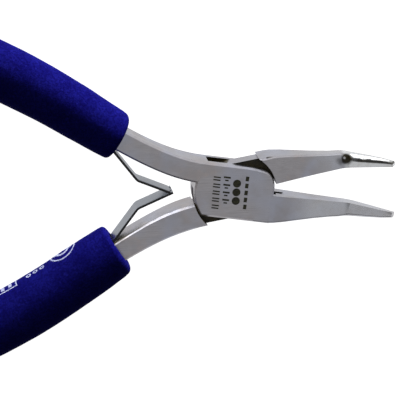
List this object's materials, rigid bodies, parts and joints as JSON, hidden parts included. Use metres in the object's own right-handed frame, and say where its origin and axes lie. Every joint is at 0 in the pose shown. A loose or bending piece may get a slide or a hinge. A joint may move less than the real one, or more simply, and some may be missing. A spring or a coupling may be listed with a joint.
{
  "type": "needle nose pliers",
  "caption": "Bent-nose electronics pliers with a box joint, smooth jaws, a double leaf return spring and foam cushion grips.",
  "frame": {"origin": "on the pivot axis, at the flat back of the box", "axes": "+X along the jaws to the tips, +Y to the upper handle's side, +Z out of the front face, the way the tips are bent"},
  "size_m": [0.1215, 0.0901, 0.013],
  "materials": {
    "steel": "satin-ground stainless steel, polished at the upper tip",
    "spring_steel": "hardened spring steel strip",
    "foam": "fine closed-cell foam, deep blue"
  },
  "bodies": {
    "box_side": {"box_half": "steel", "pivot_pin": "steel", "upper_spring_rivet": "steel", "upper_grip": "foam"},
    "insert_side": {"insert_half": "steel", "lower_spring_rivet": "steel", "lower_grip": "foam"},
    "upper_leaf": {"upper_leaf_spring": "spring_steel"},
    "lower_leaf": {"lower_leaf_spring": "spring_steel"}
  },
  "joints": [
    {"name": "jaw_pivot", "type": "hinge", "parent": "box_side", "child": "insert_side", "pos_m": [0, 0, 0.0036], "axis": [0, 0, 1], "range_deg": [-17.4, 5], "stiffness_Nm_per_rad": 0.6},
    {"name": "upper_leaf_bend", "type": "hinge", "parent": "box_side", "child": "upper_leaf", "pos_m": [-0.0265, 0.00934, 0.0036], "axis": [0, 0, 1], "range_deg": [-2.5, 8.6], "deforming": ["upper_leaf_spring"]},
    {"name": "lower_leaf_bend", "type": "hinge", "parent": "insert_side", "child": "lower_leaf", "pos_m": [-0.0265, -0.00934, 0.0036], "axis": [0, 0, 1], "range_deg": [-8.6, 2.5], "deforming": ["lower_leaf_spring"]}
  ],
  "couplings": [
    {"joint": "upper_leaf_bend", "follows": "jaw_pivot", "ratio": -0.489},
    {"joint": "lower_leaf_bend", "follows": "jaw_pivot", "ratio": 0.489}
  ]
}
